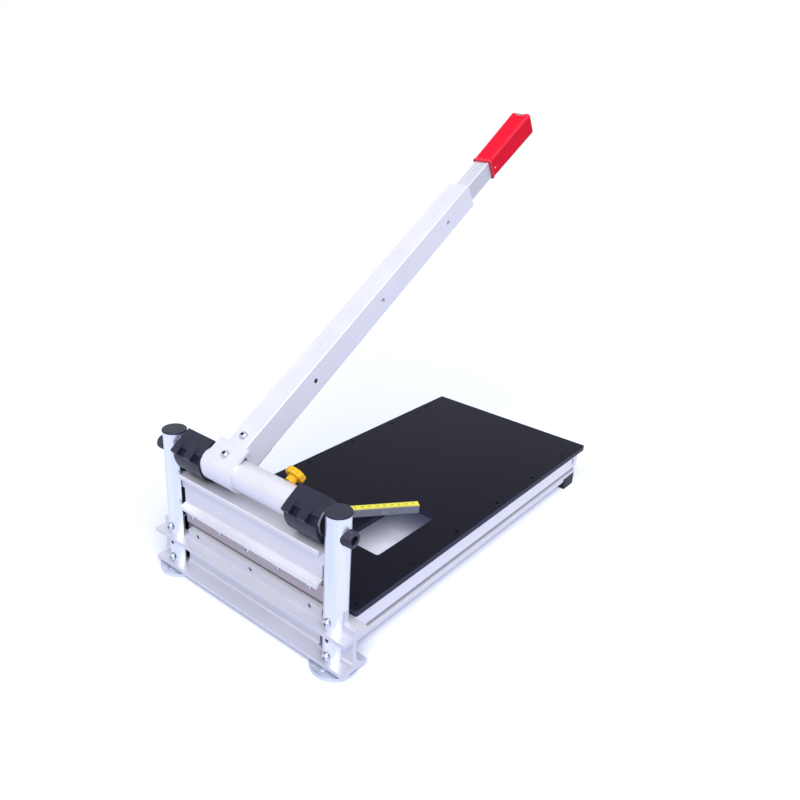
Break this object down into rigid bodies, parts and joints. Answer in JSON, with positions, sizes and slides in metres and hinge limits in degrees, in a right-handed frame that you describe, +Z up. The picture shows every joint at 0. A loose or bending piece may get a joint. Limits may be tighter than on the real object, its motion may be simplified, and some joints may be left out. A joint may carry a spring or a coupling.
{
  "type": "laminate flooring cutter",
  "caption": "Lever cutter for laminate planks: a cam-driven blade sliding in posts over a base beam, with a table, a swinging fence and an extending handle.",
  "frame": {"origin": "on the floor, midway between the screw holes of the two foot discs", "axes": "+X along the blade to the right post, +Y to the rear along the table, +Z up"},
  "size_m": [0.33, 0.6308, 0.5706],
  "materials": {
    "satin_aluminium": "satin extruded aluminium",
    "zinc_steel": "bright zinc plated steel",
    "tool_steel": "ground tool steel",
    "black_oxide_steel": "black oxide steel",
    "black_plastic": "satin black nylon",
    "black_board": "satin black laminated board",
    "black_painted_bar": "black anodised aluminium bar",
    "yellow_tape": "printed yellow ruler tape",
    "red_grip": "glossy red soft vinyl",
    "orange_knob": "orange plastic"
  },
  "bodies": {
    "base": {"base_beam": "satin_aluminium", "anvil_strip": "satin_aluminium", "anvil_screws": "zinc_steel", "post_left": "zinc_steel", "post_right": "zinc_steel", "foot_disc_left": "zinc_steel", "foot_disc_right": "zinc_steel", "post_cap_left": "black_plastic", "post_cap_right": "black_plastic", "post_screws": "zinc_steel", "pivot_screw_left": "black_oxide_steel", "pivot_screw_right": "black_oxide_steel", "spring_seats": "zinc_steel", "return_spring_left": "black_oxide_steel", "return_spring_right": "black_oxide_steel", "table_board": "black_board", "table_screws": "black_oxide_steel", "rail_left": "satin_aluminium", "rail_right": "satin_aluminium", "joining_plates": "zinc_steel", "joining_screws": "zinc_steel", "rear_foot_left": "black_plastic", "rear_foot_right": "black_plastic", "rear_foot_screws": "zinc_steel", "fence_pivot_bolt": "black_oxide_steel", "fence_pivot_nut": "zinc_steel"},
    "handle": {"axle_tube": "satin_aluminium", "axle_plug_left": "black_oxide_steel", "axle_plug_right": "black_oxide_steel", "axle_collars": "zinc_steel", "cam_keys": "zinc_steel", "cam_left_inner": "black_plastic", "cam_left_outer": "black_plastic", "cam_right_inner": "black_plastic", "cam_right_outer": "black_plastic", "handle_clamp": "satin_aluminium", "clamp_bolts": "zinc_steel", "clamp_nuts": "zinc_steel", "handle_tube": "satin_aluminium", "extension_lock_screw": "black_oxide_steel"},
    "extension": {"handle_extension": "satin_aluminium", "handle_grip": "red_grip"},
    "knob": {"axle_knob": "orange_knob", "axle_knob_stud": "zinc_steel"},
    "blade_carriage": {"blade_bar": "satin_aluminium", "blade": "tool_steel", "blade_screws": "black_oxide_steel", "spring_caps": "zinc_steel"},
    "fence": {"fence_bar": "black_painted_bar", "fence_ruler": "yellow_tape"}
  },
  "joints": [
    {"name": "handle_swing", "type": "hinge", "parent": "base", "child": "handle", "pos_m": [0, 0.019, 0.173], "axis": [1, 0, 0], "range_deg": [-35, 30]},
    {"name": "blade_slide", "type": "slide", "parent": "base", "child": "blade_carriage", "axis": [0, 0, 1], "range_m": [-0.0098, 0.0084], "deforming": ["return_spring_left", "return_spring_right"]},
    {"name": "extension_slide", "type": "slide", "parent": "handle", "child": "extension", "axis": [0, 0.841, 0.541], "range_m": [-0.055, 0.3]},
    {"name": "knob_turn", "type": "hinge", "parent": "handle", "child": "knob", "pos_m": [0.0443, 0.0233, 0.178], "axis": [0, 0.841, 0.541], "range_deg": [-30, 330]},
    {"name": "fence_swing", "type": "hinge", "parent": "base", "child": "fence", "pos_m": [-0.0427, 0.1175, 0.0645], "axis": [0, 0, 1], "range_deg": [-6.5, 38.5]}
  ],
  "couplings": [
    {"joint": "blade_slide", "follows": "handle_swing", "m_per_rad": 0.016}
  ]
}
